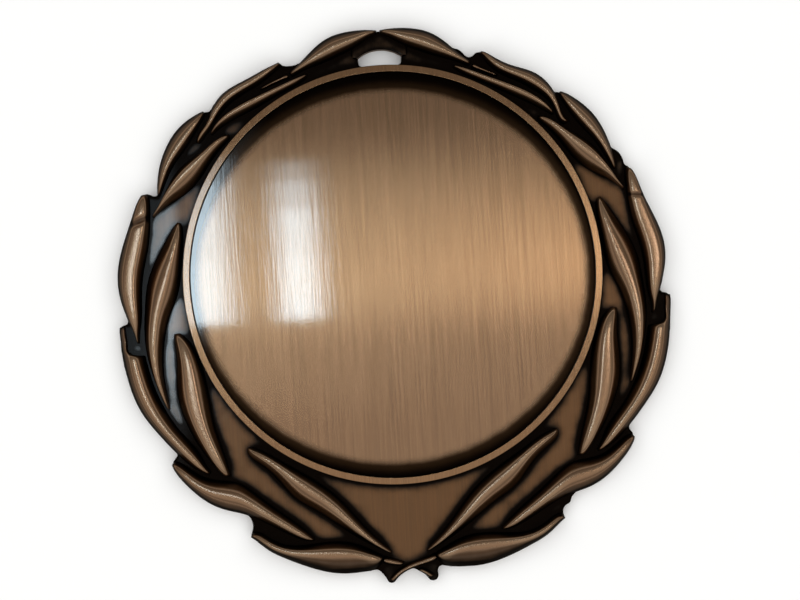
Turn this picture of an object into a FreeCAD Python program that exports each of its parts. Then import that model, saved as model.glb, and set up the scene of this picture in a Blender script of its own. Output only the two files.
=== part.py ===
"""A 70 mm laurel-wreath medal blank, die-cast and plated, lying on its back.

Millimetres, +Z up out of the face, +Y towards the ribbon slot.  The origin is on
the flat back, under the centre of the round recess.  The wreath is nearly
symmetric about the YZ plane, so each leaf is described once, for the left side
(negative X), and mirrored.  The hand-cut right side differs in a few leaves,
which have their own stations, and in its outline, and the stems cross.
"""

import FreeCAD
import Part

import math
import os

import Sketcher

V = FreeCAD.Vector

SIZES = {
    "plate_thick": 2.0,
    "floor_rise": 0.3,
    "ring_rise": 0.95,
    "ring_inner_radius": 25.55,
    "ring_width": 0.85,
    "ring_chamfer": 0.12,
    "slot_half_width": 2.7,
    "slot_floor": 26.45,
    "slot_shoulder": 27.6,
    "slot_top": 28.5,
    "bar_half_width": 3.4,
    "bar_crown": 30.75,
    "leaf_rise": 2.0,
    "stem_rise": 1.3,
}

# The wreath's outline on each side, from the end of the ribbon bar down to the
# notch between the stems.  Each entry ends one stretch: a single point ends a
# straight stretch, and a pair is an arc's middle and its end.
BAR_CORNER = (3.4, 30.85)
OUTLINE_LEFT = [
    ((-6.7, 30.1), (-9.3, 27.95)),
    ((-10.9, 27.15), (-12.3, 27.2)),
    ((-12.7, 27.5),),
    ((-16.3, 25.9), (-20.2, 23.85)),
    ((-21.2, 22.9), (-21.8, 21.95)),
    ((-22.6, 21.95),),
    ((-26.5, 19.3), (-28.5, 15.0)),
    ((-29.0, 13.4), (-28.95, 11.75)),
    ((-29.5, 11.7), (-30.1, 12.05)),
    ((-30.6, 12.0),),
    ((-33.4, 6.4), (-34.6, 1.5)),
    ((-34.4, -1.2), (-33.6, -4.2)),
    ((-34.5, -4.4),),
    ((-34.72, -4.6), (-34.78, -5.0)),
    ((-33.95, -12.1), (-30.5, -18.6)),
    ((-29.5, -19.9), (-28.4, -21.05)),
    ((-29.2, -22.0),),
    ((-26.8, -25.8), (-22.4, -28.4)),
    ((-21.2, -28.8), (-20.0, -29.3)),
    ((-19.55, -30.4), (-19.75, -31.5)),
    ((-19.9, -32.0),),
    ((-14.8, -35.3), (-8.8, -37.2)),
    ((-6.5, -37.3), (-4.1, -37.05)),
    ((-3.5, -37.65), (-3.0, -38.45)),
    ((-2.5, -38.9), (-1.95, -38.6)),
    ((-1.0, -37.75), (0.3, -37.15)),
]
OUTLINE_RIGHT = [
    ((6.7, 30.15), (9.25, 28.1)),
    ((10.3, 27.7), (10.75, 27.1)),
    ((11.4, 26.85), (12.1, 27.35)),
    ((12.75, 27.45),),
    ((16.6, 25.4), (20.0, 23.95)),
    ((21.1, 22.8), (21.7, 21.8)),
    ((22.4, 21.75),),
    ((26.0, 19.3), (28.1, 15.5)),
    ((28.5, 14.35),),
    ((29.6, 13.5), (30.0, 12.05)),
    ((30.6, 11.85),),
    ((32.9, 6.2), (34.45, 1.5)),
    ((34.3, -1.2), (33.5, -4.2)),
    ((34.4, -4.35),),
    ((34.62, -4.55), (34.68, -5.0)),
    ((33.9, -12.1), (30.5, -18.6)),
    ((29.5, -19.9), (28.5, -21.0)),
    ((29.15, -21.9),),
    ((26.8, -25.8), (22.4, -28.4)),
    ((21.4, -28.85), (20.8, -29.5)),
    ((20.6, -30.1), (20.1, -30.3)),
    ((19.75, -30.8), (19.85, -31.9)),
    ((14.8, -35.3), (8.8, -37.2)),
    ((6.5, -37.35), (3.8, -36.95)),
    ((3.45, -37.5), (3.5, -38.1)),
    ((2.75, -38.9), (2.1, -38.35)),
    ((1.3, -37.65), (0.3, -37.15)),
]

# Each leaf: the width of the flat land along its crest, where the crest lies
# between the two edges (0 on the first edge, 1 on the second) at the tip and at
# the base, and its stations from tip to base as pairs of edge points.  The
# stations under "right" are in true coordinates, and the others are mirrored.
LEAVES = [
    {  # 01: outer, meets its twin over the slot
        "land": 0.35,
        "crest": (0.62, 0.5),
        "edges": [
            ((-0.2, 30.9), (-0.2, 30.35)),
            ((-1.6, 31.05), (-1.3, 29.95)),
            ((-3.5, 31.0), (-2.9, 28.95)),
            ((-5.8, 30.55), (-4.6, 28.15)),
            ((-7.8, 29.45), (-6.6, 27.35)),
            ((-9.6, 27.85), (-8.5, 26.75)),
            ((-11.6, 26.2), (-11.1, 25.6)),
        ],
    },
    {  # 02: thin, along the ring
        "land": 0.3,
        "crest": (0.3, 0.35),
        "edges": [
            ((-9.1, 25.95), (-9.2, 25.55)),
            ((-11.0, 25.3), (-10.8, 24.45)),
            ((-13.6, 24.3), (-13.1, 23.4)),
            ((-16.4, 23.25), (-15.8, 22.05)),
            ((-19.0, 22.0), (-18.4, 20.9)),
            ((-20.4, 21.0), (-20.0, 20.1)),
            ((-21.9, 19.1), (-21.6, 18.85)),
        ],
        "right": [
            ((9.1, 25.95), (9.2, 25.55)),
            ((11.0, 25.3), (10.8, 24.45)),
            ((13.6, 24.2), (13.1, 23.3)),
            ((16.4, 23.05), (15.8, 21.95)),
            ((19.0, 21.7), (18.4, 20.6)),
            ((20.3, 20.7), (19.8, 19.8)),
            ((21.6, 19.1), (21.3, 18.85)),
        ],
    },
    {  # 03: outer
        "land": 0.35,
        "crest": (0.5, 0.6),
        "edges": [
            ((-12.8, 27.65), (-12.3, 27.25)),
            ((-14.2, 27.05), (-13.6, 26.15)),
            ((-16.2, 26.1), (-15.5, 24.85)),
            ((-18.4, 25.1), (-17.6, 23.75)),
            ((-20.3, 23.9), (-19.2, 22.7)),
            ((-21.6, 22.1), (-20.5, 21.4)),
            ((-22.5, 20.3), (-21.8, 19.75)),
            ((-23.8, 18.1), (-23.3, 17.9)),
        ],
        "right": [
            ((12.9, 27.5), (12.4, 27.1)),
            ((14.3, 26.75), (13.6, 25.75)),
            ((16.6, 25.5), (15.9, 24.0)),
            ((18.8, 24.7), (17.9, 22.95)),
            ((20.2, 23.85), (19.2, 22.1)),
            ((21.5, 22.3), (20.45, 21.2)),
            ((22.4, 20.0), (21.6, 19.45)),
            ((23.6, 18.0), (23.1, 17.8)),
        ],
    },
    {  # 04: outer
        "land": 0.35,
        "crest": (0.7, 0.62),
        "edges": [
            ((-22.65, 22.05), (-22.35, 21.65)),
            ((-24.0, 21.45), (-23.1, 20.3)),
            ((-25.6, 20.35), (-24.05, 18.85)),
            ((-27.1, 18.6), (-25.35, 17.1)),
            ((-28.3, 16.2), (-26.65, 15.5)),
            ((-28.9, 13.8), (-27.65, 13.75)),
            ((-29.05, 11.6), (-28.65, 11.65)),
        ],
        "right": [
            ((22.5, 21.85), (22.25, 21.45)),
            ((23.75, 21.25), (22.9, 20.15)),
            ((25.3, 20.05), (23.85, 18.6)),
            ((26.8, 18.35), (25.15, 16.9)),
            ((28.0, 15.95), (26.5, 15.25)),
            ((28.65, 13.8), (27.5, 13.65)),
            ((28.95, 11.6), (28.55, 11.6)),
        ],
    },
    {  # 05: inner, its stalk ends against leaf 06
        "land": 0.3,
        "crest": (0.35, 0.3),
        "edges": [
            ((-19.5, 18.9), (-19.35, 18.4)),
            ((-21.1, 18.45), (-20.5, 17.3)),
            ((-23.0, 17.1), (-21.9, 15.7)),
            ((-25.0, 15.8), (-23.4, 13.6)),
            ((-26.8, 14.15), (-25.3, 11.8)),
            ((-28.15, 11.95), (-27.2, 10.65)),
            ((-29.9, 9.2), (-29.65, 8.85)),
        ],
    },
    {  # 06: outer, the widest, with a broad flat crest
        "land": 1.2,
        "crest": (0.5, 0.52),
        "edges": [
            ((-31.05, 11.95), (-30.2, 12.05)),
            ((-31.7, 10.95), (-30.0, 10.95)),
            ((-32.55, 8.9), (-30.1, 8.5)),
            ((-33.9, 5.4), (-30.55, 5.2)),
            ((-34.68, 2.0), (-31.4, 1.8)),
            ((-34.45, -1.3), (-31.75, -1.4)),
            ((-33.4, -4.4), (-32.05, -4.45)),
            ((-32.75, -6.7), (-32.25, -6.8)),
        ],
        "right": [
            ((30.85, 11.6), (30.1, 11.85)),
            ((31.45, 10.5), (29.95, 10.6)),
            ((32.2, 8.3), (30.05, 8.2)),
            ((33.6, 5.0), (30.5, 4.9)),
            ((34.5, 1.8), (31.35, 1.8)),
            ((34.3, -1.3), (31.75, -1.4)),
            ((33.35, -4.3), (32.05, -4.4)),
            ((32.75, -6.7), (32.25, -6.8)),
        ],
    },
    {  # 07: inner, along the ring
        "land": 0.5,
        "crest": (0.6, 0.42),
        "edges": [
            ((-26.75, 8.3), (-26.25, 8.1)),
            ((-28.0, 6.6), (-26.1, 5.6)),
            ((-29.4, 4.3), (-26.5, 2.4)),
            ((-30.8, 1.4), (-27.1, -0.6)),
            ((-31.45, -2.0), (-28.3, -3.4)),
            ((-31.75, -5.5), (-29.1, -6.2)),
            ((-31.45, -9.0), (-29.5, -9.3)),
            ((-30.6, -12.1), (-29.4, -12.3)),
            ((-29.3, -15.3), (-29.0, -15.3)),
        ],
    },
    {  # 08: outer, with the pit beside its top that leaf 06 ends in
        "land": 0.5,
        "crest": (0.5, 0.5),
        "edges": [
            ((-34.8, -4.55), (-32.0, -4.5)),
            ((-34.8, -6.2), (-31.95, -6.1)),
            ((-34.6, -8.2), (-31.8, -8.0)),
            ((-34.4, -10.0), (-31.45, -9.8)),
            ((-34.0, -12.0), (-30.95, -11.9)),
            ((-32.8, -15.3), (-29.8, -14.9)),
            ((-30.6, -18.5), (-28.15, -17.75)),
            ((-28.35, -21.15), (-26.4, -19.9)),
            ((-26.3, -23.0), (-25.3, -21.7)),
            ((-24.6, -23.85), (-24.3, -23.45)),
        ],
    },
    {  # 09: inner, broad and flat-topped
        "land": 1.0,
        "crest": (0.5, 0.55),
        "edges": [
            ((-28.0, -5.8), (-27.3, -5.7)),
            ((-27.95, -8.2), (-25.35, -8.1)),
            ((-28.05, -11.2), (-24.45, -11.0)),
            ((-28.0, -14.0), (-24.0, -14.0)),
            ((-27.2, -17.0), (-23.6, -17.2)),
            ((-25.75, -20.1), (-22.8, -20.3)),
            ((-24.2, -22.4), (-22.2, -22.6)),
            ((-22.9, -24.1), (-21.8, -24.2)),
        ],
    },
    {  # 10: outer
        "land": 0.5,
        "crest": (0.5, 0.55),
        "edges": [
            ((-29.3, -22.3), (-28.9, -21.8)),
            ((-28.4, -24.0), (-27.3, -22.6)),
            ((-26.4, -26.2), (-25.3, -24.0)),
            ((-23.9, -27.95), (-23.0, -24.6)),
            ((-21.2, -28.85), (-20.6, -25.2)),
            ((-18.6, -29.95), (-17.6, -27.6)),
            ((-15.9, -31.5), (-15.0, -29.7)),
            ((-13.5, -32.7), (-12.9, -31.5)),
            ((-11.95, -32.95), (-11.7, -32.7)),
        ],
    },
    {  # 11: inner
        "land": 0.4,
        "crest": (0.7, 0.5),
        "edges": [
            ((-19.75, -20.9), (-19.5, -20.55)),
            ((-18.6, -22.6), (-17.2, -21.5)),
            ((-16.4, -24.6), (-14.9, -22.95)),
            ((-14.6, -26.9), (-12.6, -24.4)),
            ((-12.0, -28.9), (-10.2, -26.1)),
            ((-9.3, -30.8), (-7.9, -28.3)),
            ((-6.7, -32.7), (-5.9, -30.8)),
            ((-4.2, -34.2), (-3.9, -33.1)),
            ((-2.2, -35.15), (-2.1, -34.85)),
        ],
    },
    {  # 12: the lowest, its base turns into the stem
        "land": 0.5,
        "crest": (0.6, 0.7),
        "edges": [
            ((-19.9, -32.0), (-19.7, -31.5)),
            ((-18.0, -33.6), (-17.7, -32.1)),
            ((-15.6, -35.0), (-15.3, -33.25)),
            ((-12.6, -36.3), (-12.4, -33.3)),
            ((-9.0, -37.25), (-9.1, -33.15)),
            ((-6.0, -37.25), (-6.1, -33.8)),
            ((-4.3, -36.9), (-4.0, -34.9)),
            ((-3.5, -36.25), (-3.3, -35.25)),
        ],
    },
]

# The pit in the top of leaf 08, from the left leaf's outer rim round to the start.
PIT_START = (-34.1, -3.9)
PIT = [
    ((-33.95, -6.9),),
    ((-33.8, -7.85), (-33.1, -8.2)),
    ((-31.2, -8.3),),
    ((-31.2, -3.9),),
    (PIT_START,),
]
PIT_LEAF = 8

# The right branch's stem runs over the left one's, which shows on both sides of
# it.  The low stalks carry the top leaves, between leaves 02 and 03.  Stations as
# for the leaves, all in true coordinates.
STEMS = {
    "stem_right": [
        ((3.5, -36.25), (3.3, -35.25)),
        ((1.75, -36.75), (1.5, -35.95)),
        ((0.1, -37.2), (-0.25, -36.5)),
        ((-1.1, -37.8), (-1.65, -37.2)),
        ((-2.1, -38.7), (-2.8, -38.35)),
    ],
    "stem_left": [
        ((-3.5, -36.25), (-3.3, -35.25)),
        ((-2.1, -36.65), (-1.9, -35.75)),
        ((-1.0, -36.7), (-0.65, -36.2)),
    ],
    "stem_left_foot": [
        ((0.85, -37.4), (1.3, -37.05)),
        ((1.6, -37.85), (2.15, -37.4)),
        ((2.3, -38.55), (3.1, -38.1)),
    ],
    "stalk_left": [
        ((-11.75, 26.05), (-11.35, 25.45)),
        ((-13.4, 25.4), (-13.1, 24.95)),
        ((-15.3, 24.45), (-15.1, 24.15)),
    ],
    "stalk_right": [
        ((11.75, 26.0), (11.35, 25.4)),
        ((13.2, 25.2), (12.95, 24.75)),
        ((14.8, 24.4), (14.6, 24.1)),
    ],
}


END_SWELL = 0.4  # share of the full rise that is left at a leaf's blunt ends
STEM_START = 0.85  # share of the full rise at a stem's thick end
STEM_FALL = 0.25  # how much of that share is lost along the stem
STEM_LAND = 0.3
LAND_SHARE = 0.5  # most of a station's width that its crest land may take

# A sketch is drawn at these sizes, and its expressions then set the real ones.
DRAFT_RADIUS = 20
DRAFT_RISE = 1
LEVEL = 1e-4  # heights that differ by less are the same


def make_sheet(doc):
    """Puts the driving sizes in a spreadsheet, one aliased cell each."""
    sheet = doc.addObject("Spreadsheet::Sheet", "Sizes")
    for row, (alias, value) in enumerate(SIZES.items(), start=1):
        sheet.set(f"A{row}", alias)
        sheet.set(f"B{row}", str(value))
        sheet.setAlias(f"B{row}", alias)
    doc.recompute()
    return sheet


def make_body(doc, name):
    body = doc.addObject("PartDesign::Body", name)
    body.Label = name
    return body


def flat_sketch(body, name, height=None):
    """A sketch on the body's XY plane, raised to the height expression if given."""
    sketch = body.newObject("Sketcher::SketchObject", name)
    plane = next(f for f in body.Origin.OriginFeatures if f.Role == "XY_Plane")
    sketch.AttachmentSupport = [(plane, "")]
    sketch.MapMode = "FlatFace"
    if height:
        sketch.setExpression("AttachmentOffset.Base.z", height)
    return sketch


def add_pad(body, sketch, length):
    pad = body.newObject("PartDesign::Pad", body.Name + "_pad")
    pad.Profile = sketch
    pad.setExpression("Length", length)
    return pad


def circle_in(sketch, name, radius):
    """A circle about the sketch's origin, its radius bound to an expression."""
    draft = Part.Circle(V(0, 0, 0), V(0, 0, 1), DRAFT_RADIUS)
    circle = sketch.addGeometry(draft)
    sketch.addConstraint(Sketcher.Constraint("Coincident", circle, 3, -1, 1))
    index = sketch.addConstraint(Sketcher.Constraint("Radius", circle, DRAFT_RADIUS))
    sketch.renameConstraint(index, name)
    sketch.setExpression("Constraints." + name, radius)


def mirrored(points):
    """The same points, or pairs of points, on the other side of the YZ plane."""
    if isinstance(points[0], float):
        return (-points[0], points[1])
    return [mirrored(part) for part in points]


def outline_half(start, entries):
    """One side's lines and arcs, from the ribbon bar's end to the bottom notch."""
    half = []
    for entry in entries:
        points = [V(*point, 0) for point in (start, *entry)]
        half.append(Part.LineSegment(*points) if len(points) == 2 else Part.Arc(*points))
        start = entry[-1]
    return half


def bar_seat(size):
    """The notch that the ribbon bar fills, with the slot's floor at its bottom."""
    half, wide = size["slot_half_width"], size["bar_half_width"]
    floor, shoulder = size["slot_floor"], size["slot_shoulder"]
    right = [BAR_CORNER, (wide, shoulder), (half, shoulder), (half, floor)]
    corners = right + mirrored(right[::-1])
    return [Part.LineSegment(V(*a, 0), V(*b, 0)) for a, b in zip(corners, corners[1:])]


def make_plate(doc, size):
    """The flat back plate, whose top is the field between the leaves."""
    body = make_body(doc, "back_plate")
    sketch = flat_sketch(body, "plate_outline")
    left = outline_half(mirrored(BAR_CORNER), OUTLINE_LEFT)
    right = outline_half(BAR_CORNER, OUTLINE_RIGHT)
    sketch.addGeometry(left + right + bar_seat(size))
    add_pad(body, sketch, "Sizes.plate_thick")
    return body


def make_bar(doc, size):
    """The bridge over the ribbon slot, arched underneath and rounded on top."""
    body = make_body(doc, "ribbon_bar")
    sketch = flat_sketch(body, "bar_outline")
    half, wide = size["slot_half_width"], size["bar_half_width"]
    shoulder, top = size["slot_shoulder"], size["slot_top"]
    crown = size["bar_crown"]
    right = [V(half, shoulder, 0), V(wide, shoulder, 0), V(*BAR_CORNER, 0)]
    left = [V(-half, shoulder, 0), V(-wide, shoulder, 0), V(*mirrored(BAR_CORNER), 0)]
    sketch.addGeometry(
        [
            Part.Arc(left[0], V(0, top, 0), right[0]),
            Part.LineSegment(right[0], right[1]),
            Part.LineSegment(right[1], right[2]),
            Part.Arc(right[2], V(0, crown, 0), left[2]),
            Part.LineSegment(left[2], left[1]),
            Part.LineSegment(left[1], left[0]),
        ]
    )
    add_pad(body, sketch, "Sizes.plate_thick")
    return body


def make_disc(doc):
    """The recess floor, which the ring stands on."""
    body = make_body(doc, "centre_disc")
    sketch = flat_sketch(body, "disc_outline", "Sizes.plate_thick")
    circle_in(sketch, "radius", "Sizes.ring_inner_radius + Sizes.ring_width")
    add_pad(body, sketch, "Sizes.floor_rise")
    return body


def make_ring(doc):
    """The raised rim around the recess, with small chamfers on its top edges."""
    body = make_body(doc, "bezel_ring")
    sketch = flat_sketch(body, "ring_outline", "Sizes.plate_thick + Sizes.floor_rise")
    circle_in(sketch, "inner", "Sizes.ring_inner_radius")
    circle_in(sketch, "outer", "Sizes.ring_inner_radius + Sizes.ring_width")
    pad = add_pad(body, sketch, "Sizes.ring_rise")
    doc.recompute()
    top = pad.Shape.BoundBox.ZMax
    rims = [
        f"Edge{i}"
        for i, edge in enumerate(pad.Shape.Edges, start=1)
        if edge.BoundBox.ZMin > top - LEVEL
    ]
    chamfer = body.newObject("PartDesign::Chamfer", "ring_chamfer")
    chamfer.Base = (pad, rims)
    chamfer.setExpression("Size", "Sizes.ring_chamfer")
    return body


def section_sketch(body, index, edge_a, edge_b, crest, rise, land):
    """One upright section: a base from edge to edge and a flat land on top.

    rise is (sheet alias, share of it), and land is a width in millimetres.
    """
    name = f"{body.Name}_section_{index}"
    sketch = flat_sketch(body, name)
    start, end = V(*edge_a, 0), V(*edge_b, 0)
    across = (end - start).normalize()
    up = V(0, 0, 1)
    turn = FreeCAD.Rotation(across, up, across.cross(up), "XYZ")
    sketch.AttachmentOffset = FreeCAD.Placement(start, turn)
    sketch.setExpression("AttachmentOffset.Base.z", "Sizes.plate_thick")

    width = (end - start).Length
    left = crest * width - land / 2
    alias, share = rise
    crown = [V(left + land, DRAFT_RISE, 0), V(left, DRAFT_RISE, 0)]
    corners = [V(0, 0, 0), V(width, 0, 0)] + crown
    loop = corners + corners[:1]
    sketch.addGeometry([Part.LineSegment(a, b) for a, b in zip(loop, loop[1:])])
    base, top = 0, 2
    join = [
        Sketcher.Constraint("Coincident", line, 2, (line + 1) % 4, 1) for line in range(4)
    ]
    sketch.addConstraint(join)
    sketch.addConstraint(Sketcher.Constraint("Coincident", base, 1, -1, 1))
    sketch.addConstraint(Sketcher.Constraint("Horizontal", base))
    sketch.addConstraint(Sketcher.Constraint("Horizontal", top))
    sizes = {
        "width": Sketcher.Constraint("DistanceX", base, 1, base, 2, width),
        "land": Sketcher.Constraint("DistanceX", top, 2, top, 1, land),
        "land_from": Sketcher.Constraint("DistanceX", base, 1, top, 2, left),
        "rise": Sketcher.Constraint("DistanceY", base, 1, top, 2, DRAFT_RISE),
    }
    for label, constraint in sizes.items():
        sketch.renameConstraint(sketch.addConstraint(constraint), label)
    sketch.setExpression("Constraints.rise", f"Sizes.{alias} * {share:.3f}")
    return sketch


def swell(along):
    """How much of its full rise a leaf has, from 0 at its tip to 1 at its base."""
    return END_SWELL + (1 - END_SWELL) * math.sqrt(math.sin(math.pi * along))


def make_loft(doc, name, edges, crest, land, alias, shares):
    """A ridged solid on the plate, lofted through one section per pair of edges."""
    body = make_body(doc, name)
    last = len(edges) - 1
    sketches = []
    for index, (edge_a, edge_b) in enumerate(edges):
        along = index / last
        place = crest[0] + (crest[1] - crest[0]) * along
        width = (V(*edge_b, 0) - V(*edge_a, 0)).Length
        flat = min(land, width * LAND_SHARE)
        rise = (alias, shares(along))
        sketches.append(section_sketch(body, index, edge_a, edge_b, place, rise, flat))
    loft = body.newObject("PartDesign::AdditiveLoft", name + "_loft")
    loft.Profile = sketches[0]
    loft.Sections = sketches[1:]
    loft.Ruled = False
    return body


def cut_pit(body, side):
    """Cuts the pit through the leaf, down to the plate."""
    sketch = flat_sketch(body, body.Name + "_pit_outline")
    start, entries = PIT_START, PIT
    if side == "right":
        start, entries = mirrored(start), [mirrored(entry) for entry in entries]
    sketch.addGeometry(outline_half(start, entries))
    pit = body.newObject("PartDesign::Pocket", body.Name + "_pit")
    pit.Profile = sketch
    pit.Type = "ThroughAll"
    pit.Reversed = True


def make_leaf(doc, number, side, leaf):
    edges = leaf["edges"]
    if side == "right":
        edges = leaf.get("right") or mirrored(edges)
    name = f"leaf_{side}_{number:02d}"
    body = make_loft(doc, name, edges, leaf["crest"], leaf["land"], "leaf_rise", swell)
    if number == PIT_LEAF:
        cut_pit(body, side)
    return body


def taper(along):
    """How much of its full rise a stem or stalk has, from 0 to 1 along it."""
    return STEM_START - STEM_FALL * along


def make_stem(doc, name, edges):
    crest = (0.5, 0.5)
    return make_loft(doc, name, edges, crest, STEM_LAND, "stem_rise", taper)


def check(doc, bodies):
    """Stops if any object failed or any sub-part is not one valid solid."""
    for item in doc.Objects:
        if "Invalid" in item.State or "Error" in item.State:
            raise RuntimeError(f"{item.Label}: {item.State}")
    for body in bodies:
        shape = body.Shape
        if shape.isNull() or not shape.isValid() or len(shape.Solids) != 1:
            raise RuntimeError(f"{body.Label}: no single valid solid")
        if shape.Volume <= 0:
            raise RuntimeError(f"{body.Label}: volume {shape.Volume}")


def main():
    doc = FreeCAD.newDocument("laurel_medal")
    sheet = make_sheet(doc)
    size = {alias: float(sheet.get(alias)) for alias in SIZES}

    bodies = [make_plate(doc, size), make_bar(doc, size), make_disc(doc), make_ring(doc)]
    for number, leaf in enumerate(LEAVES, start=1):
        for side in ("left", "right"):
            bodies.append(make_leaf(doc, number, side, leaf))
    for name, edges in STEMS.items():
        bodies.append(make_stem(doc, name, edges))

    doc.recompute()
    check(doc, bodies)

    os.makedirs("parts", exist_ok=True)
    for body in bodies:
        body.Shape.exportStep(os.path.join("parts", body.Label + ".step"))
        print(f"{body.Label}: {body.Shape.Volume:.1f} mm3")


main()
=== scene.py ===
"""Laurel wreath medal in antique bronze: the visual model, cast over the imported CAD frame.
"""

import math

import bmesh
import bpy
import numpy as np
from mathutils import Matrix, Vector


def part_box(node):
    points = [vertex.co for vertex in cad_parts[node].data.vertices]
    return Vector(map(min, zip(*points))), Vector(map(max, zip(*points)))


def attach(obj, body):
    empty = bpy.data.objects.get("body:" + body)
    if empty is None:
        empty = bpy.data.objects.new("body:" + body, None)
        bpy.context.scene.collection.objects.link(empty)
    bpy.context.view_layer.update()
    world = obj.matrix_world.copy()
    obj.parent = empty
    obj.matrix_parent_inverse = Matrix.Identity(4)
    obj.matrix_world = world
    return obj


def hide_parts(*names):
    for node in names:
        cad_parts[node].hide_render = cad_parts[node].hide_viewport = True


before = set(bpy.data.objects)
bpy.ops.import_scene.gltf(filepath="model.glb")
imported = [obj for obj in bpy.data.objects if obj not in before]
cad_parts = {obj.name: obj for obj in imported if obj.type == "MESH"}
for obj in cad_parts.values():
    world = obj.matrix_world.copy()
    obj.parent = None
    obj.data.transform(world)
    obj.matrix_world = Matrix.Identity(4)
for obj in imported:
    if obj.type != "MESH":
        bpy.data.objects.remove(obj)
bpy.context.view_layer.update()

MM = 0.001

# Which bronze each CAD node has. All the nodes that aren't here have LEAF_SLOT.
SLOTS = {
    "back_plate": "plate_bronze",
    "ribbon_bar": "plate_bronze",
    "bezel_ring": "ring_bronze",
    "centre_disc": "disc_bronze",
}
LEAF_SLOT = "leaf_bronze"
RELIEF = sorted(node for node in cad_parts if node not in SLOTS)

# Casting: the size of the remade faces, and how many rounds of smoothing
WELD = 0.001
UNDERSIDE = 0.01  # a face no higher than this over a leaf's foot is its underside
SKIRT = 0.5  # how far a leaf's foot is carried down into the plate
LEAF_VOXEL = 0.1
LEAF_ROUNDS = 60
SWELL = 2.1  # above 1 a leaf's sides bulge
ROUND_SHARE = 0.5  # how far a point moves towards its neighbours' mean in each round
FOOT_SHARE = 0.02  # and at a leaf's foot
FREE_HEIGHT = 0.5  # height above the foot from where it is ROUND_SHARE
PLATE_VOXEL = 0.22
PLATE_ROUNDS = 2
BAR_VOXEL = 0.1
BAR_ROUNDS = 6

# Folds pressed across a leaf: start, end, half width and depth
FOLDS = {
    "leaf_left_06": ((-33.4, 8.0), (-30.0, 9.0), 0.38, 0.4),
    "leaf_right_06": ((30.0, 8.3), (32.4, 8.1), 0.2, 0.25),
}

# Turned pieces
SEGMENTS = 512
RING_WIDTH = 0.85
RING_SUNK = 0.25  # how far the ring's foot goes down into the disc
EDGE_RADIUS = 0.05
EDGE_STEPS = 4
FLAT_FROM = 0.07  # distance from the ring's edge where its flat top begins
DISC_STEP = 0.4
DISC_RIM = 0.3  # width left plain outside the disc's last step

# Map of the relief's heights
CELL = 0.1
HALF = 37.0
GAP_CELLS = 3  # how far a gap in the map is filled from its edges
OUTSIDE = 4.2  # the ground outside counts as this high, so the outer feet darken as if sheltered: patina and painted shade
NEAR = 0.9  # radii that a place's height is compared over
WIDE = 1.6
BOX_WIDTH = 1.2  # width of the running means that make up a blur, as a share of its radius

# Patina and painted shade, from 0 for bare bronze to 1 or more for black. A band holds its weight,
# the value where it sets in and the value where it is full. The bands that aren't explained go by a
# place's X or Y.
FOOT_BAND = (0.85, 0.9, 0)  # by height over the plate
STEEP_PATINA_AND_SHADE_BAND = (0.8, 0.95, 0.25)  # by the height of the unit normal; patina and painted shade on the steep flanks
# Painted shade: the leaves darker towards the medal's top, and towards its bottom
LEAF_TOP_SHADE_BAND = (0.15, 16, 26)
LEAF_BOTTOM_SHADE_BAND = (0.15, -14, -26)
LEAF_UNDER_SHADE_BAND = (0.5, -30, -34)  # painted shade, only on the sides that face -Y
FACING_DOWN = (0, 0.5)
SLOT_BAND = (0.9, 16, 25)  # the plate around the ribbon slot
LEFT_BAND = (0.35, -24, -28)  # the plate on the left, above LEFT_HEIGHTS
LEFT_HEIGHTS = (-9, 3)
PIT_BAND = (0.9, 2.0, 0.8)  # by the distance from PIT_PLACE, or its mirror image on the left
PIT_PLACE = (33.0, -6.0)
SHELTER = 0.5  # for each millimetre that the plate lies below its surroundings
SHELTER_BAND = (1.3, -10, -22)  # and more of it towards the bottom
FOLD_DARK = 0.7
LEAF_DIPS = (1.2, 0.0)  # weights for a place below its near and its wide surroundings
PLATE_DIPS = (1.8, 0.8)
BAR_DIPS = (1.0, 0.5)
WIDE_RANGE = (0.55, 1.0)
SIDE_DARK = 0.45  # the even patina on the medal's side and back
SIDE_DEPTHS = (0.1, 0.4)  # below the plate's top
MOST_PATINA_AND_SHADE = 2.0
WEAR_AND_HIGHLIGHT = 1.6  # wear and painted highlight, for each millimetre that a place stands above its surroundings

# Colours, and the thickness of the lacquer, which mirrors the windows
# Near-black of thick patina, also used for painted shade
PATINA_AND_SHADE = (0.010, 0.006, 0.004, 1)
DARK = (0.06, 0.034, 0.018, 1)
BROWN = (0.33, 0.185, 0.095, 1)
LIGHT_BROWN = (0.40, 0.21, 0.10, 1)
BRONZE = (0.66, 0.40, 0.23, 1)
# Light bronze of worn crests, also a painted highlight
WORN_AND_HIGHLIGHT = (0.82, 0.58, 0.38, 1)
DISC = (0.63, 0.36, 0.18, 1)
DISC_DARK = (0.59, 0.338, 0.17, 1)
DISC_LIGHT = (0.74, 0.44, 0.235, 1)
FLOOR = (0.86, 0.86, 0.86, 1)
LACQUER_IOR = 2.3
PLATE_LACQUER_IOR = 2.0
LEAF_LACQUER = 0.7
RING_LACQUER = 0.5
DISC_LACQUER = 1.0

# Noise: the size of its blotches, its detail and roughness, and how much longer it is along Y
LEAF_MOTTLE = (1.2, 3, 0.5, 1)
LEAF_GRAIN = (0.12, 2, 0.5, 1)
PLATE_MOTTLE = (1.5, 3, 0.5, 1)
PLATE_GRAIN = (0.25, 3, 0.7, 1)
SCRATCHES = (0.2, 3, 0.7, 60)
STREAKS = (0.7, 2, 0.6, 50)
RIPPLES = (0.5, 3, 0.7, 15)
PORES = (0.3, 3, 0.7, 1)
SMOKE = (2.0, 4, 0.6, 1)

# How deep the bumps are that it makes
LEAF_GRAIN_DEPTH = 0.0015
PLATE_GRAIN_DEPTH = 0.012
SCRATCH_DEPTH = 0.001
RIPPLE_DEPTH = 0.002
PORE_DEPTH = 0.0005
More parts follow.
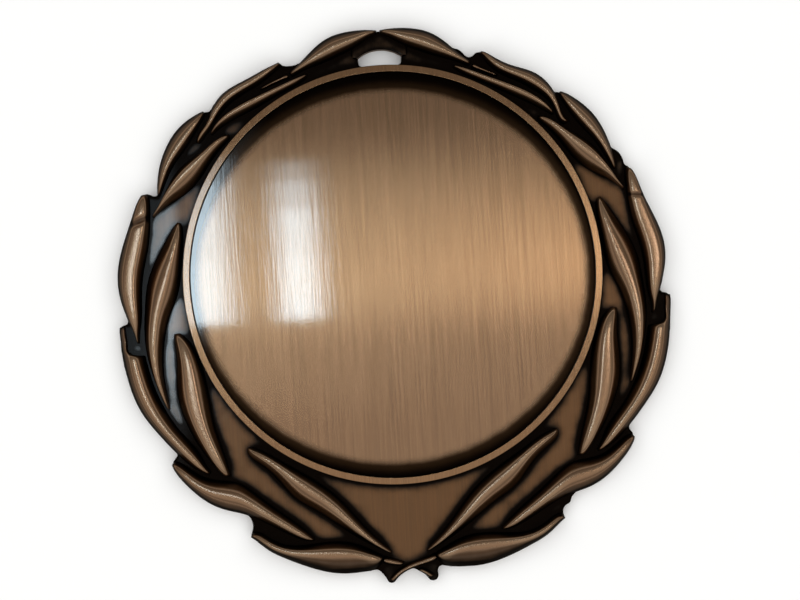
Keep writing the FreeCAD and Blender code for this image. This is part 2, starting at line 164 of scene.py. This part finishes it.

# The ranges over which a look sets in: of patina and painted shade, of wear and painted highlight,
# of noise, or of X or Y. Where two more values follow, they are what it goes from and to.
LEAF_BROWN = (0.05, 0.6)
LEAF_BLACK = (0.4, 1.25)
LEAF_WORN_AND_HIGHLIGHT = (0.6, 1.3)
LEAF_ROUGHNESS = (0.0, 0.8, 0.2, 0.5)
PLATE_BLACK = (0.0, 1.4)
PLATE_SCRATCHED = (0.3, 0.7)
PLATE_LACQUER_LEFT = (-28, -26, 1.0, 0.2)
PLATE_LACQUER_WORN = (1.0, 1.6, 1.0, 0.1)
DISC_STREAKED = (0.3, 0.7)
DISC_SCRATCHED = (0.35, 0.7)
DISC_COVERED = (0.0, 0.5)
DISC_BLACK = (0.5, 1.0)
DISC_LACQUER_LEFT = (-23, -14, 1.0, 0.0)
DISC_LACQUER_ABOVE = (-9, -4)

# The ellipse that the belt reached on the disc, and the share of it where patina sets in
BELT_CENTRE = (-0.1, -0.25)
BELT_RADII = (25.95, 24.8)
BELT_EDGE = (0.905, 1.03)
RING_EDGES = (0.36, 0.44)  # distance from the ring's middle line where patina and painted shade set in

# Camera: its place over the disc, and how wide it sees there
CAMERA_HEIGHT = 300.0
CAMERA_OVER = (0.73, -3.25)
CAMERA_TURN = math.radians(-3.5)
VIEW_WIDTH = 100.883
SENSOR_WIDTH = 36.0
CLIP = (0.01, 10.0)  # in metres

# Window panes: left and right edge of each one's mirror image on the disc, its share of
# the radiance, and its rows. A row holds bottom, top and radiance.
PANE_HEIGHT = 900.0
WINDOW_COLOUR = (0.70, 0.88, 1.0)
LEFT_ROWS = ((-5, 3, 4.9), (3, 9, 4.5), (9, 13, 4.0), (13, 16, 2.5))
RIGHT_ROWS = ((-5, 3, 4.9), (3, 9, 4.3), (9, 12.5, 2.7), (12.5, 15, 1.2))
FAR_ROWS = ((-16, 0, 5.0), (0, 16, 1.8))
HAZE_ROWS = ((-5, 3, 2.8), (3, 8, 1.7), (8, 13, 0.8))
ROOM_COLOUR = (1.0, 0.88, 0.74)
PANES = (
    ("window_far", -32, -27, 1.0, FAR_ROWS, WINDOW_COLOUR),
    ("window_left", -27, -21.5, 0.95, LEFT_ROWS, WINDOW_COLOUR),
    ("curtain_left", -21.5, -19.5, 0.4, LEFT_ROWS, WINDOW_COLOUR),
    ("curtain_middle", -15.3, -13.6, 0.4, RIGHT_ROWS, WINDOW_COLOUR),
    ("window_right", -13.6, -10.2, 1.0, RIGHT_ROWS, WINDOW_COLOUR),
    ("curtain_right", -10.2, -8.3, 0.4, RIGHT_ROWS, WINDOW_COLOUR),
    ("haze", 36, 75, 1.0, HAZE_ROWS, ROOM_COLOUR),
)

# The room's strength, by a direction's Y, from near to far, or by its Z, upwards: the range
# over which it changes, and the strength at each end
CEILING = (-0.1, 0.1, 0.345, 0.15)
SHOULDER = (-0.5, 0.5, 0.14, 0.08)
HORIZON = (-0.05, 0.1, 0.12, 0.28)
SHOULDER_HEIGHTS = (0.3, 0.6)
CEILING_HEIGHTS = (0.55, 0.98)

# The lamp that lights the floor, and the floor, in metres
LAMP_HEIGHT = 1.2
LAMP_SIZE = 2.5
LAMP_RADIANCE = 1.75
LAMP_COLOUR = (0.97, 0.99, 1.0)
FLOOR_HALF = 1.5
FLOOR_DROP = 0.00002

scene = bpy.context.scene


def span(node):
    """Lowest and highest corner of a CAD node, in mm."""
    return [np.array(corner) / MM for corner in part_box(node)]


PLATE_TOP = span("back_plate")[1][2]
DISC_TOP = span("centre_disc")[1][2]
RING_OUTER = span("bezel_ring")[1][0]
RING_TOP = span("bezel_ring")[1][2]


def ease(start, full, values):
    """Grows smoothly from 0 at start to 1 at full."""
    t = np.clip((values - start) / (full - start), 0, 1)
    return t * t * (3 - 2 * t)


def band(settings, values):
    """A band's patina for these values."""
    weight, start, full = settings
    return weight * ease(start, full, values)


# ---------------------------------------------------------------- meshes


def read_mesh(mesh, field="co"):
    """The mesh's points, or another field of them, as an array."""
    values = np.empty(len(mesh.vertices) * 3)
    mesh.vertices.foreach_get(field, values)
    return values.reshape(-1, 3)


def write_points(mesh, points):
    mesh.vertices.foreach_set("co", points.ravel())
    mesh.update()


def new_object(name, mesh):
    obj = bpy.data.objects.new(name, mesh)
    scene.collection.objects.link(obj)
    return obj


def node_mesh(node):
    """A copy of a CAD node's mesh in mm, welded."""
    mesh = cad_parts[node].data.copy()
    mesh.materials.clear()
    mesh.transform(Matrix.Scale(1 / MM, 4))
    work = bmesh.new()
    work.from_mesh(mesh)
    bmesh.ops.remove_doubles(work, verts=work.verts, dist=WELD)
    work.to_mesh(mesh)
    work.free()
    return mesh


def recast(name, mesh, voxel, rounds=0):
    """A new object with the mesh remade of even small faces, and its edges rounded as a mould's."""
    obj = new_object(name, mesh)
    remesh = obj.modifiers.new("remesh", "REMESH")
    remesh.mode = "VOXEL"
    remesh.voxel_size = voxel
    if rounds:
        smooth = obj.modifiers.new("smooth", "SMOOTH")
        smooth.factor = ROUND_SHARE
        smooth.iterations = rounds
    view = bpy.context.evaluated_depsgraph_get()
    made = bpy.data.meshes.new_from_object(obj.evaluated_get(view))
    obj.modifiers.clear()
    obj.data = made
    return obj


def even_out(mesh, points, share, rounds):
    """Moves each point towards the mean of its neighbours, by its share, that many times over."""
    ends = np.empty(len(mesh.edges) * 2, int)
    mesh.edges.foreach_get("vertices", ends)
    one = np.concatenate([ends[0::2], ends[1::2]])
    two = np.concatenate([ends[1::2], ends[0::2]])
    count = np.bincount(one, minlength=len(points))
    for _ in range(rounds):
        mean = [np.bincount(one, points[two, k], len(points)) / count for k in range(3)]
        points = points + (np.stack(mean, axis=1) - points) * share[:, None]
    return points


def add_skirt(mesh, foot):
    """Carries the leaf's flat underside down into the plate."""
    work = bmesh.new()
    work.from_mesh(mesh)
    level = foot + UNDERSIDE
    under = [face for face in work.faces if all(vert.co.z < level for vert in face.verts)]
    made = bmesh.ops.extrude_face_region(work, geom=under)["geom"]
    for vert in made:
        if isinstance(vert, bmesh.types.BMVert):
            vert.co.z -= SKIRT
    bmesh.ops.delete(work, geom=under, context="FACES")
    work.to_mesh(mesh)
    work.free()


def nearness(points, start, end, width):
    """1 on the line between two points, falling to 0 a little beyond the width from it."""
    start, along = np.array(start), np.subtract(end, start)
    share = np.clip((points[:, :2] - start) @ along / (along @ along), 0, 1)
    away = np.linalg.norm(points[:, :2] - start - share[:, None] * along, axis=1)
    return np.exp(-((away / width) ** 2))


def cast_leaf(node):
    """A leaf or stem with swollen sides and a rounded crest, whose foot keeps the CAD outline."""
    low, high = span(node)
    foot, rise = low[2], high[2] - low[2]
    mesh = node_mesh(node)
    add_skirt(mesh, foot)
    obj = recast("cast_" + node, mesh, LEAF_VOXEL)
    points = read_mesh(obj.data)
    level = np.clip((points[:, 2] - foot) / rise, 0, 1)
    points[:, 2] += (1 - (1 - level) ** SWELL - level) * rise
    share = ROUND_SHARE * ease(0, FREE_HEIGHT, points[:, 2] - foot)
    points = even_out(obj.data, points, np.maximum(share, FOOT_SHARE), LEAF_ROUNDS)
    above = np.maximum(points[:, 2] - foot, 0)
    points[:, 2] += above * (rise / above.max() - 1)
    if node in FOLDS:
        start, end, width, depth = FOLDS[node]
        fold = nearness(points, start, end, width) * np.clip(above / rise, 0, 1)
        points[:, 2] -= depth * fold
    write_points(obj.data, points)
    return obj


def cast_plate():
    return recast("cast_back_plate", node_mesh("back_plate"), PLATE_VOXEL, PLATE_ROUNDS)


def cast_bar():
    return recast("cast_ribbon_bar", node_mesh("ribbon_bar"), BAR_VOXEL, BAR_ROUNDS)


def lathe(name, profile):
    """A closed ring or disc: the profile's (radius, height) points turned about Z."""
    angles = np.arange(SEGMENTS) / SEGMENTS * 2 * np.pi
    verts, faces, rows = [], [], []
    for radius, height in profile:
        if radius == 0:
            rows.append([len(verts)] * SEGMENTS)
            verts.append((0.0, 0.0, height))
            continue
        rows.append(list(range(len(verts), len(verts) + SEGMENTS)))
        verts += [(radius * np.cos(angle), radius * np.sin(angle), height) for angle in angles]
    hollow = profile[0][0] != 0
    following = rows[1:] + rows[:1] if hollow else rows[1:]
    for low, high in zip(rows, following):
        for i in range(SEGMENTS):
            j = (i + 1) % SEGMENTS
            corners = [low[i], low[j], high[j], high[i]]
            faces.append(list(dict.fromkeys(corners)))
    mesh = bpy.data.meshes.new(name)
    mesh.from_pydata(verts, [], faces)
    mesh.validate()
    work = bmesh.new()
    work.from_mesh(mesh)
    bmesh.ops.recalc_face_normals(work, faces=work.faces)
    work.to_mesh(mesh)
    work.free()
    return new_object(name, mesh)


def rounded(corner, before, after):
    """Points that round the corner between two neighbours."""
    corner, before, after = (np.array(point, float) for point in (corner, before, after))
    start = corner + (before - corner) / np.linalg.norm(before - corner) * EDGE_RADIUS
    end = corner + (after - corner) / np.linalg.norm(after - corner) * EDGE_RADIUS
    out = []
    for k in range(EDGE_STEPS + 1):
        t = k / EDGE_STEPS
        out.append(tuple((1 - t) ** 2 * start + 2 * t * (1 - t) * corner + t**2 * end))
    return out


def make_ring():
    """The raised ring, with a flat top between two rounded edges."""
    foot = span("bezel_ring")[0][2]
    inner = RING_OUTER - RING_WIDTH
    profile = [(inner, foot - RING_SUNK)]
    profile += rounded((inner, RING_TOP), (inner, foot), (RING_OUTER, RING_TOP))
    profile += [(inner + FLAT_FROM, RING_TOP), (RING_OUTER - FLAT_FROM, RING_TOP)]
    profile += rounded((RING_OUTER, RING_TOP), (inner, RING_TOP), (RING_OUTER, foot))
    profile += [(RING_OUTER, foot - RING_SUNK)]
    return lathe("turned_bezel_ring", profile)


def make_disc():
    """The flat disc, in steps so that its shading stays even."""
    low, high = span("centre_disc")
    radius, foot = high[0], low[2]
    profile = [(step, DISC_TOP) for step in np.arange(0, radius - DISC_RIM, DISC_STEP)]
    profile += [(radius - EDGE_RADIUS, DISC_TOP), (radius, DISC_TOP - EDGE_RADIUS)]
    profile += [(radius, foot), (0, foot)]
    return lathe("turned_centre_disc", profile)


# ---------------------------------------------------------------- patina and painted shade


def box_blur(grid, width):
    """A running mean over width cells along both axes."""
    for _ in range(2):
        pad = np.pad(grid, ((width // 2 + 1, width // 2), (0, 0)), mode="edge")
        total = np.cumsum(pad, axis=0)
        grid = ((total[width:] - total[:-width]) / width).T
    return grid


def blur(grid, radius):
    """Three running means, close to a Gaussian of that radius."""
    width = int(radius / CELL * BOX_WIDTH) | 1
    for _ in range(3):
        grid = box_blur(grid, width)
    return grid


def fill_gaps(grid):
    """Cells that no point fell on take their highest neighbour's height."""
    for _ in range(GAP_CELLS):
        best = grid.copy()
        for axis in (0, 1):
            for step in (-1, 1):
                best = np.maximum(best, np.roll(grid, step, axis))
        grid = np.where(grid < 0, best, grid)
    return grid


def height_map(objects):
    """The highest point over each cell of a square grid, filled inside the ring up to its top."""
    size = int(2 * HALF / CELL)
    grid = np.full((size, size), -1.0)
    for obj in objects:
        points = read_mesh(obj.data)
        cells = ((points[:, :2] + HALF) / CELL).astype(int)
        np.maximum.at(grid, (cells[:, 0], cells[:, 1]), points[:, 2])
    grid = fill_gaps(grid)
    middles = (np.arange(size) + 0.5) * CELL - HALF
    from_centre = np.hypot(middles[:, None], middles[None, :])
    grid = np.where(from_centre < RING_OUTER, RING_TOP, grid)
    # The raised ground outside darkens the outer feet: patina and painted shade.
    return np.where(grid < 0, OUTSIDE, grid)


def sample(grid, points):
    """The map's height under each point, blended between cells."""
    last = grid.shape[0] - 1.001
    u = np.clip((points[:, 0] + HALF) / CELL - 0.5, 0, last)
    v = np.clip((points[:, 1] + HALF) / CELL - 0.5, 0, last)
    i, j = u.astype(int), v.astype(int)
    a, b = u - i, v - j
    return (
        grid[i, j] * (1 - a) * (1 - b)
        + grid[i + 1, j] * a * (1 - b)
        + grid[i, j + 1] * (1 - a) * b
        + grid[i + 1, j + 1] * a * b
    )


class Surface:
    """A piece's points, and how far each lies below its near and its wide surroundings."""

    def __init__(self, obj, near, wide):
        self.points = read_mesh(obj.data)
        self.facing = read_mesh(obj.data, "normal")
        self.x, self.y, self.height = self.points.T
        self.dip = np.maximum(sample(near, self.points) - self.height, 0)
        self.hollow = sample(wide, self.points) - self.height


def relief_patina_and_shade(s):
    """Patina at the feet, patina and painted shade on the flanks, and painted shade on the leaves at
    the medal's top and bottom and on their sides that face -Y low down.
    """
    foot = band(FOOT_BAND, s.height - PLATE_TOP)
    # Steep flanks: patina and painted shade.
    patina_and_shade = np.maximum(foot, band(STEEP_PATINA_AND_SHADE_BAND, s.facing[:, 2]))
    # Painted shade: darker at the medal's top and bottom.
    patina_and_shade += band(LEAF_TOP_SHADE_BAND, s.y) + band(LEAF_BOTTOM_SHADE_BAND, s.y)
    # Painted shade on the sides that face -Y near the bottom.
    return patina_and_shade + band(LEAF_UNDER_SHADE_BAND, s.y) * ease(*FACING_DOWN, -s.facing[:, 1])


def plate_patina(s):
    """Dark around the ribbon slot, on the left, in the two pits and between the leaves."""
    from_pit = np.hypot(np.abs(s.x) - PIT_PLACE[0], s.y - PIT_PLACE[1])
    patina_and_shade = band(SLOT_BAND, s.y) + band(PIT_BAND, from_pit)
    patina_and_shade += band(LEFT_BAND, s.x) * ease(*LEFT_HEIGHTS, s.y)
    return patina_and_shade + (SHELTER + band(SHELTER_BAND, s.y)) * np.maximum(s.hollow, 0)


def coat(obj, maps, own_patina_and_shade, weights, fold=None):
    """Stores how much patina with painted shade, and wear with a painted highlight, each of the
    piece's points has.
    """
    s = Surface(obj, *maps)
    patina_and_shade = own_patina_and_shade(s) + weights[0] * s.dip + weights[1] * ease(*WIDE_RANGE, s.hollow)
    if fold:
        start, end, width, _ = fold
        patina_and_shade += FOLD_DARK * nearness(s.points, start, end, width)
    side = ease(*SIDE_DEPTHS, PLATE_TOP - s.height)
    patina_and_shade += side * (SIDE_DARK - patina_and_shade)
    # The stored value holds patina and painted shade together.
    add_attribute(obj.data, "patina_and_shade", np.clip(patina_and_shade, 0, MOST_PATINA_AND_SHADE))
    # The wear value is also a painted highlight on the crests.
    add_attribute(obj.data, "wear_and_highlight", np.clip(-WEAR_AND_HIGHLIGHT * s.hollow, 0, 1))


def add_attribute(mesh, name, values):
    layer = mesh.attributes.new(name, "FLOAT", "POINT")
    layer.data.foreach_set("value", values.astype(np.float32))


# ---------------------------------------------------------------- materials


class Nodes:
    """Short names for building a node tree."""

    def __init__(self, tree, coords):
        self.tree = tree
        self.coords = self.new("ShaderNodeTexCoord").outputs[coords]

    def new(self, kind):
        return self.tree.nodes.new(kind)

    def put(self, socket, value):
        if isinstance(value, bpy.types.NodeSocket):
            self.tree.links.new(value, socket)
        else:
            socket.default_value = value

    def math(self, operation, a, b=0.0):
        node = self.new("ShaderNodeMath")
        node.operation = operation
        self.put(node.inputs[0], a)
        self.put(node.inputs[1], b)
        return node.outputs[0]

    def add(self, a, b):
        return self.math("ADD", a, b)

    def times(self, a, b):
        return self.math("MULTIPLY", a, b)

    def swing(self, value, amount):
        """A value from 0 to 1 as a swing about zero, of that amount in all."""
        return self.times(self.math("SUBTRACT", value, 0.5), amount)

    def ease(self, value, start, full, to_start=0.0, to_full=1.0):
        """Goes smoothly from to_start at start to to_full at full."""
        node = self.new("ShaderNodeMapRange")
        node.interpolation_type = "SMOOTHSTEP"
        inputs = {
            "Value": value,
            "From Min": start,
            "From Max": full,
            "To Min": to_start,
            "To Max": to_full,
        }
        for name, setting in inputs.items():
            self.put(node.inputs[name], setting)
        return node.outputs[0]

    def mix(self, share, a, b):
        """A colour between a and b."""
        node = self.new("ShaderNodeMix")
        node.data_type = "RGBA"
        self.put(node.inputs["Factor"], share)
        self.put(node.inputs[6], a)
        self.put(node.inputs[7], b)
        return node.outputs[2]

    def blend(self, share, a, b):
        """A number between a and b."""
        node = self.new("ShaderNodeMix")
        node.data_type = "FLOAT"
        self.put(node.inputs["Factor"], share)
        self.put(node.inputs[2], a)
        self.put(node.inputs[3], b)
        return node.outputs[0]

    def axis(self, index):
        node = self.new("ShaderNodeSeparateXYZ")
        self.put(node.inputs[0], self.coords)
        return node.outputs[index]


class Finish(Nodes):
    """A material's node tree, in the object's own coordinates."""

    def __init__(self, name):
        self.material = bpy.data.materials.new(name)
        self.material.use_nodes = True
        super().__init__(self.material.node_tree, "Object")
        self.shader = self.tree.nodes["Principled BSDF"]

    def set(self, **values):
        for name, value in values.items():
            self.put(self.shader.inputs[name.replace("_", " ")], value)

    def place(self, index):
        """The place along an axis, in mm."""
        return self.times(self.axis(index), 1 / MM)

    def distance(self, across, along):
        squares = self.add(self.times(across, across), self.times(along, along))
        return self.math("SQRT", squares)

    def noise(self, kind):
        """Noise from 0 to 1, of one of the kinds named above."""
        size, detail, rough, stretch = kind
        mapping = self.new("ShaderNodeMapping")
        mapping.inputs["Scale"].default_value = (1, 1 / stretch, 1)
        self.put(mapping.inputs["Vector"], self.coords)
        node = self.new("ShaderNodeTexNoise")
        self.put(node.inputs["Vector"], mapping.outputs[0])
        self.put(node.inputs["Scale"], 1 / (size * MM))
        self.put(node.inputs["Detail"], detail)
        self.put(node.inputs["Roughness"], rough)
        return node.outputs["Fac"]

    def attribute(self, name):
        node = self.new("ShaderNodeAttribute")
        node.attribute_name = name
        return node.outputs["Fac"]

    def bump(self, height, depth, normal=None):
        """depth is in mm for a height that runs from 0 to 1."""
        node = self.new("ShaderNodeBump")
        node.inputs["Distance"].default_value = depth * MM
        node.inputs["Strength"].default_value = 1.0
        self.put(node.inputs["Height"], height)
        if normal is not None:
            self.put(node.inputs["Normal"], normal)
        return node.outputs[0]


def leaf_material():
    """Cast bronze, brown under thin patina and painted shade and nearly black under thick, with worn
    crests that carry a painted highlight.
    """
    n = Finish("leaf_bronze")
    grain = n.noise(LEAF_GRAIN)
    patina_and_shade = n.add(n.attribute("patina_and_shade"), n.swing(n.noise(LEAF_MOTTLE), 0.2))
    wear_and_highlight = n.add(n.attribute("wear_and_highlight"), n.swing(grain, 0.3))
    black = n.ease(patina_and_shade, *LEAF_BLACK)
    bare = n.mix(n.ease(patina_and_shade, *LEAF_BROWN), BRONZE, BROWN)
    # Worn crests turn light: wear and a painted highlight.
    bare = n.mix(n.ease(wear_and_highlight, *LEAF_WORN_AND_HIGHLIGHT), bare, WORN_AND_HIGHLIGHT)
    n.set(Base_Color=n.mix(black, bare, PATINA_AND_SHADE), Metallic=1.0)
    n.set(Roughness=n.add(n.ease(patina_and_shade, *LEAF_ROUGHNESS), n.swing(grain, 0.08)))
    n.set(Normal=n.bump(grain, LEAF_GRAIN_DEPTH))
    n.set(Coat_Weight=n.blend(black, LEAF_LACQUER, 0.0))
    n.set(Coat_Roughness=0.15, Coat_IOR=LACQUER_IOR)
    return n.material


def plate_material():
    """Brown bronze with a grainy surface, lacquered most on its bare parts to the left."""
    n = Finish("plate_bronze")
    patina_and_shade = n.add(n.attribute("patina_and_shade"), n.swing(n.noise(PLATE_MOTTLE), 0.7))
    black = n.ease(patina_and_shade, *PLATE_BLACK)
    bare = n.mix(n.ease(n.noise(SCRATCHES), *PLATE_SCRATCHED), BROWN, LIGHT_BROWN)
    n.set(Base_Color=n.mix(black, bare, PATINA_AND_SHADE), Metallic=1.0)
    n.set(Roughness=n.blend(black, 0.35, 0.45))
    n.set(Normal=n.bump(n.noise(PLATE_GRAIN), PLATE_GRAIN_DEPTH))
    lacquer = n.ease(n.place(0), *PLATE_LACQUER_LEFT)
    n.set(Coat_Weight=n.times(lacquer, n.ease(patina_and_shade, *PLATE_LACQUER_WORN)))
    n.set(Coat_Roughness=0.12, Coat_IOR=PLATE_LACQUER_IOR)
    return n.material


def brushed_material(name, patina_and_shade_at, lacquer):
    """Lacquered bronze with the marks of a belt that ran along Y, and the patina it left; on the
    ring's edges this is patina with painted shade.
    """
    n = Finish(name)
    scratches = n.noise(SCRATCHES)
    patina_and_shade = patina_and_shade_at(n)
    covered = n.ease(patina_and_shade, *DISC_COVERED)
    bare = n.mix(n.ease(n.noise(STREAKS), *DISC_STREAKED), DISC, DISC_DARK)
    bare = n.mix(n.ease(scratches, *DISC_SCRATCHED), bare, DISC_LIGHT)
    cover = n.mix(n.ease(patina_and_shade, *DISC_BLACK), DARK, PATINA_AND_SHADE)
    n.set(Base_Color=n.mix(covered, bare, cover), Metallic=1.0)
    n.set(Roughness=n.blend(patina_and_shade, n.add(0.14, n.times(scratches, 0.08)), 0.5))
    n.set(Normal=n.bump(scratches, SCRATCH_DEPTH))
    n.set(Anisotropic=1.0, Tangent=across_the_brush(n))

    # Over the darkened parts there is lacquer only on the left, and not low down.
    left = n.ease(n.place(0), *DISC_LACQUER_LEFT)
    above = n.ease(n.place(1), *DISC_LACQUER_ABOVE)
    share = n.blend(covered, 1.0, n.times(left, above))
    n.set(Coat_Weight=n.times(share, lacquer), Coat_Roughness=0.03, Coat_IOR=LACQUER_IOR)
    ripples = n.bump(n.noise(RIPPLES), RIPPLE_DEPTH)
    n.set(Coat_Normal=n.bump(n.noise(PORES), PORE_DEPTH, ripples))
    return n.material


def across_the_brush(n):
    """The direction that the scratches spread a reflection in."""
    tangent = n.new("ShaderNodeCombineXYZ")
    tangent.inputs["X"].default_value = 1.0
    return tangent.outputs[0]


def disc_patina(n):
    """Patina left around the rim of the disc, where the belt did not reach."""
    across = n.math("DIVIDE", n.add(n.place(0), -BELT_CENTRE[0]), BELT_RADII[0])
    along = n.math("DIVIDE", n.add(n.place(1), -BELT_CENTRE[1]), BELT_RADII[1])
    smoke = n.swing(n.noise(SMOKE), 0.015)
    return n.ease(n.add(n.distance(across, along), smoke), *BELT_EDGE)


def ring_patina_and_shade(n):
    """Patina and painted shade on the ring's two edges."""
    middle = RING_OUTER - RING_WIDTH / 2
    from_centre = n.distance(n.place(0), n.place(1))
    from_middle = n.math("ABSOLUTE", n.math("SUBTRACT", from_centre, middle))
    return n.ease(from_middle, *RING_EDGES)


def floor_material():
    n = Finish("pale_floor")
    n.set(Base_Color=FLOOR, Roughness=0.9)
    return n.material


# ---------------------------------------------------------------- pieces


def finish_piece(obj, node, material):
    obj.data.transform(Matrix.Scale(MM, 4))
    obj.data.polygons.foreach_set("use_smooth", [True] * len(obj.data.polygons))
    obj.data.materials.clear()
    obj.data.materials.append(material)
    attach(obj, "root")
    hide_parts(node)


def make_pieces():
    leaves = {node: cast_leaf(node) for node in RELIEF}
    others = {
        "back_plate": cast_plate(),
        "ribbon_bar": cast_bar(),
        "bezel_ring": make_ring(),
        "centre_disc": make_disc(),
    }
    plate, bar = others["back_plate"], others["ribbon_bar"]

    relief = height_map([*leaves.values(), plate, bar])
    maps = blur(relief, NEAR), blur(relief, WIDE)
    for node, leaf in leaves.items():
        coat(leaf, maps, relief_patina_and_shade, LEAF_DIPS, FOLDS.get(node))
    coat(plate, maps, plate_patina, PLATE_DIPS)
    coat(bar, maps, relief_patina_and_shade, BAR_DIPS)

    materials = {
        LEAF_SLOT: leaf_material(),
        "plate_bronze": plate_material(),
        "ring_bronze": brushed_material("ring_bronze", ring_patina_and_shade, RING_LACQUER),
        "disc_bronze": brushed_material("disc_bronze", disc_patina, DISC_LACQUER),
    }
    for node, obj in {**leaves, **others}.items():
        slot = SLOTS.get(node, LEAF_SLOT)
        finish_piece(obj, node, materials[slot])


# ---------------------------------------------------------------- studio


def make_floor():
    """A pale floor that the bronze doesn't mirror."""
    half = FLOOR_HALF
    corners = [(-half, -half), (half, -half), (half, half), (-half, half)]
    mesh = bpy.data.meshes.new("floor")
    mesh.from_pydata([(x, y, -FLOOR_DROP) for x, y in corners], [], [(0, 1, 2, 3)])
    mesh.materials.append(floor_material())
    obj = new_object("floor", mesh)
    obj.visible_glossy = False


def add_area(name, centre, width, depth, radiance, colour):
    """A level light that shines down, in metres."""
    light = bpy.data.lights.new(name, "AREA")
    light.shape = "RECTANGLE"
    light.size, light.size_y = width, depth
    light.energy = radiance * width * depth * math.pi
    light.color = colour
    obj = new_object(name, light)
    obj.location = centre
    return obj


def make_lamp():
    """Lights the floor evenly, and isn't seen in the bronze."""
    centre = (0, 0, LAMP_HEIGHT)
    lamp = add_area("floor_lamp", centre, LAMP_SIZE, LAMP_SIZE, LAMP_RADIANCE, LAMP_COLOUR)
    lamp.visible_glossy = False


def mirrored_place(x, y):
    """Where a pane lies that the camera sees in the disc at this place."""
    away = PANE_HEIGHT / CAMERA_HEIGHT
    return x + (x - CAMERA_OVER[0]) * away, y + (y - CAMERA_OVER[1]) * away


def make_pane(name, left, right, bottom, top, radiance, colour):
    x0, y0 = mirrored_place(left, bottom)
    x1, y1 = mirrored_place(right, top)
    centre = Vector(((x0 + x1) / 2, (y0 + y1) / 2, DISC_TOP + PANE_HEIGHT)) * MM
    add_area(name, centre, (x1 - x0) * MM, (y1 - y0) * MM, radiance, colour)


def make_windows():
    for name, left, right, share, rows, colour in PANES:
        for row, (bottom, top, radiance) in enumerate(rows):
            make_pane(f"{name}_{row}", left, right, bottom, top, radiance * share, colour)


def make_camera():
    data = bpy.data.cameras.new("camera")
    data.sensor_width = SENSOR_WIDTH
    data.lens = SENSOR_WIDTH * CAMERA_HEIGHT / VIEW_WIDTH
    data.clip_start, data.clip_end = CLIP
    obj = new_object("camera", data)
    obj.location = Vector((*CAMERA_OVER, DISC_TOP + CAMERA_HEIGHT)) * MM
    obj.rotation_euler = (0, 0, CAMERA_TURN)
    scene.camera = obj


def make_world():
    """A dim room, brightest overhead and at the horizon, whose strength depends on the direction."""
    world = bpy.data.worlds.new("studio")
    world.use_nodes = True
    scene.world = world
    n = Nodes(world.node_tree, "Generated")
    y, z = n.axis(1), n.axis(2)
    ceiling = n.ease(y, *CEILING)
    shoulder = n.ease(y, *SHOULDER)
    horizon = n.ease(z, *HORIZON)
    sides = n.ease(z, *SHOULDER_HEIGHTS, horizon, shoulder)
    background = n.tree.nodes["Background"]
    background.inputs["Color"].default_value = (*ROOM_COLOUR, 1)
    n.put(background.inputs["Strength"], n.ease(z, *CEILING_HEIGHTS, sides, ceiling))


make_pieces()
make_floor()
make_camera()
make_world()
make_lamp()
make_windows()
scene.view_settings.view_transform = "Standard"
